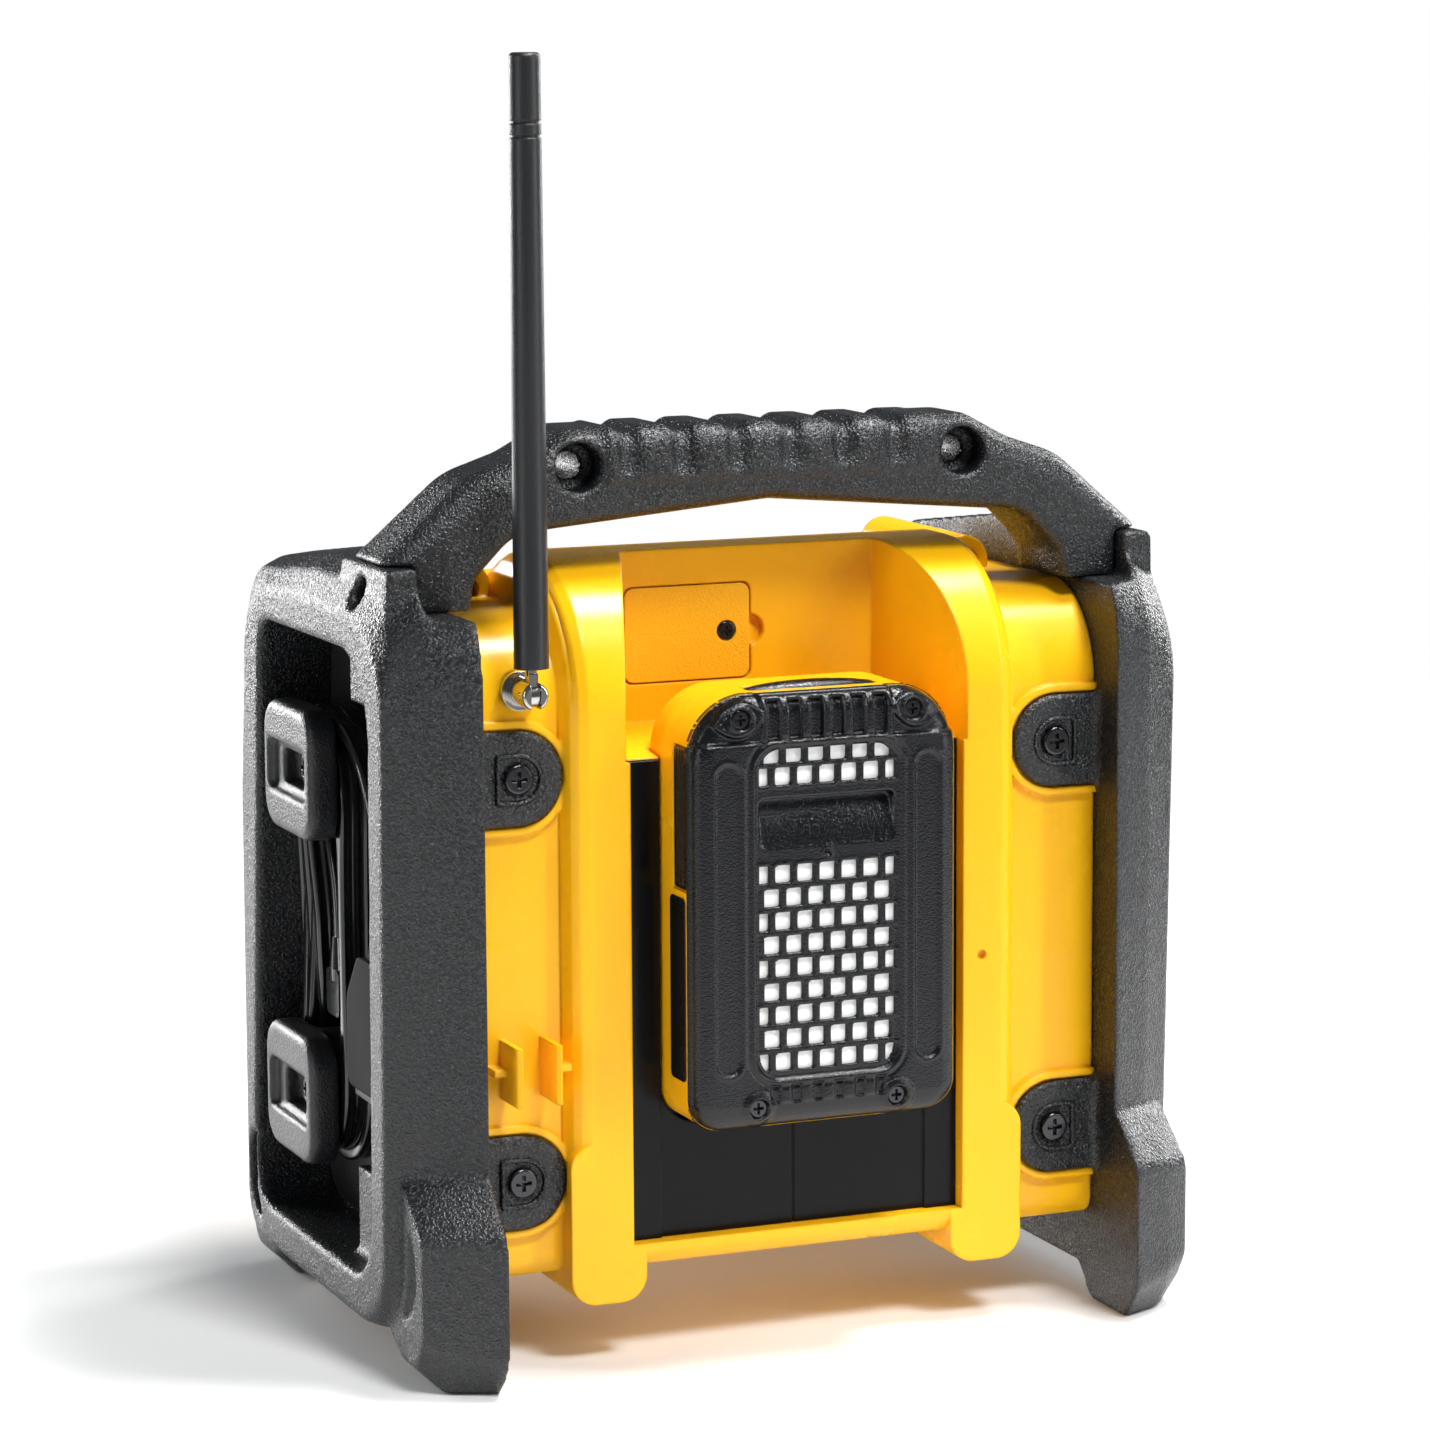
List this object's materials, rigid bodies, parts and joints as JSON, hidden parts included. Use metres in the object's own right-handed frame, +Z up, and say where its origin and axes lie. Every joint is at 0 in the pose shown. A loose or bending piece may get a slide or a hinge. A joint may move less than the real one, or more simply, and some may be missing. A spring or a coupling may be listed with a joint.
{
  "type": "jobsite radio",
  "caption": "Jobsite radio: yellow housing between black roll-cage side frames with a carrying handle, slide-in battery, folding antenna and wound mains cord.",
  "frame": {"origin": "on the ground under the middle of the four feet", "axes": "+Z up, front with speakers and controls faces -Y, battery dock faces +Y, wound cord on the +X side"},
  "size_m": [0.2272, 0.166, 0.3417],
  "materials": {
    "yellow_shell": "glossy moulded ABS",
    "frame_black": "grained impact-resistant moulding",
    "smooth_black": "smooth satin moulding",
    "pack_black": "satin moulding",
    "white_plastic": "plain",
    "black_rubber": "soft satin",
    "cord_black": "glossy PVC sheath",
    "dark_screw": "blackened steel",
    "bright_metal": "polished nickel plate",
    "brass_pins": "nickelled brass",
    "cell_wrap": "shrink-wrapped cells",
    "coin_steel": "brushed",
    "display_glass": "clear cover",
    "display_face": "liquid crystal face",
    "board_green": "circuit board",
    "grille_metal": "painted perforated sheet",
    "speaker_dark": "basket, cone and magnet",
    "core_steel": "laminated core"
  },
  "bodies": {
    "radio": {"side_frame_left": "frame_black", "side_frame_right": "frame_black", "handle_bar": "frame_black", "handle_grip": "black_rubber", "handle_leg_screws": "dark_screw", "rear_housing": "yellow_shell", "front_housing": "yellow_shell", "lug_screws_rear": "dark_screw", "lug_screws_front": "dark_screw", "shoulder_screws": "dark_screw", "dock_tray": "smooth_black", "terminal_block": "smooth_black", "terminal_blades": "brass_pins", "coin_holder": "smooth_black", "coin_cell": "coin_steel", "antenna_bush": "bright_metal", "cord_panel": "smooth_black", "cord_cleat_lower": "smooth_black", "cord_cleat_upper": "smooth_black", "cleat_screws": "dark_screw", "cord_gland": "cord_black", "cord_lead": "cord_black", "cord_hank": "cord_black", "cord_tail": "cord_black", "mains_plug": "cord_black", "plug_pins": "brass_pins", "side_panel": "smooth_black", "aux_jack": "smooth_black", "control_fascia": "smooth_black", "display_window": "display_glass", "display_module": "display_face", "button_board": "board_green", "knob_encoders": "core_steel", "speaker_grille_left": "grille_metal", "speaker_grille_right": "grille_metal", "speaker_left": "speaker_dark", "speaker_right": "speaker_dark", "main_board": "board_green", "transformer": "core_steel"},
    "battery": {"pack_inner_shell": "yellow_shell", "pack_outer_shell": "pack_black", "pack_screws": "dark_screw", "pack_cell_carrier": "white_plastic", "pack_cells": "cell_wrap"},
    "latch": {"pack_latch": "pack_black"},
    "cover": {"cell_cover": "yellow_shell", "cell_cover_screw": "dark_screw"},
    "antenna_base": {"antenna_knuckle": "bright_metal", "antenna_pin": "bright_metal"},
    "antenna": {"antenna_rod": "bright_metal", "antenna_sleeve": "black_rubber"},
    "volume": {"volume_knob": "smooth_black"},
    "tuning": {"tuning_knob": "smooth_black"},
    "flap": {"aux_flap": "black_rubber"},
    "key_1": {"button_1": "black_rubber"},
    "key_2": {"button_2": "black_rubber"},
    "key_3": {"button_3": "black_rubber"},
    "key_4": {"button_4": "black_rubber"},
    "key_5": {"button_5": "black_rubber"}
  },
  "joints": [
    {"name": "battery_slide", "type": "slide", "parent": "radio", "child": "battery", "axis": [0, 0, 1], "range_m": [0, 0.065]},
    {"name": "battery_latch", "type": "slide", "parent": "battery", "child": "latch", "axis": [0, 0, -1], "range_m": [0, 0.0022], "stiffness_N_per_m": 800, "springref_m": -0.003},
    {"name": "cell_cover_tilt", "type": "hinge", "parent": "radio", "child": "cover", "pos_m": [0.0346, 0.0261, 0.18765], "axis": [0, 0, 1], "range_deg": [-25, 0]},
    {"name": "antenna_swivel", "type": "hinge", "parent": "radio", "child": "antenna_base", "pos_m": [0.0756, 0.065, 0.1795], "axis": [0, 1, 0], "range_deg": [-60, 0]},
    {"name": "antenna_tilt", "type": "hinge", "parent": "antenna_base", "child": "antenna", "pos_m": [0.0756, 0.065, 0.1795], "axis": [-1, 0, 0], "range_deg": [0, 180]},
    {"name": "volume_turn", "type": "hinge", "parent": "radio", "child": "volume", "pos_m": [0.046, -0.066, 0.156], "axis": [0, -1, 0], "continuous": true},
    {"name": "tuning_turn", "type": "hinge", "parent": "radio", "child": "tuning", "pos_m": [-0.046, -0.066, 0.156], "axis": [0, -1, 0], "continuous": true},
    {"name": "aux_flap_hinge", "type": "hinge", "parent": "radio", "child": "flap", "pos_m": [-0.0947, 0, 0.084], "axis": [0, 1, 0], "range_deg": [0, 120]},
    {"name": "button_1_press", "type": "slide", "parent": "radio", "child": "key_1", "axis": [0, 1, 0], "range_m": [0, 0.001], "stiffness_N_per_m": 700, "springref_m": -0.0008},
    {"name": "button_2_press", "type": "slide", "parent": "radio", "child": "key_2", "axis": [0, 1, 0], "range_m": [0, 0.001], "stiffness_N_per_m": 700, "springref_m": -0.0008},
    {"name": "button_3_press", "type": "slide", "parent": "radio", "child": "key_3", "axis": [0, 1, 0], "range_m": [0, 0.001], "stiffness_N_per_m": 700, "springref_m": -0.0008},
    {"name": "button_4_press", "type": "slide", "parent": "radio", "child": "key_4", "axis": [0, 1, 0], "range_m": [0, 0.001], "stiffness_N_per_m": 700, "springref_m": -0.0008},
    {"name": "button_5_press", "type": "slide", "parent": "radio", "child": "key_5", "axis": [0, 1, 0], "range_m": [0, 0.001], "stiffness_N_per_m": 700, "springref_m": -0.0008}
  ]
}
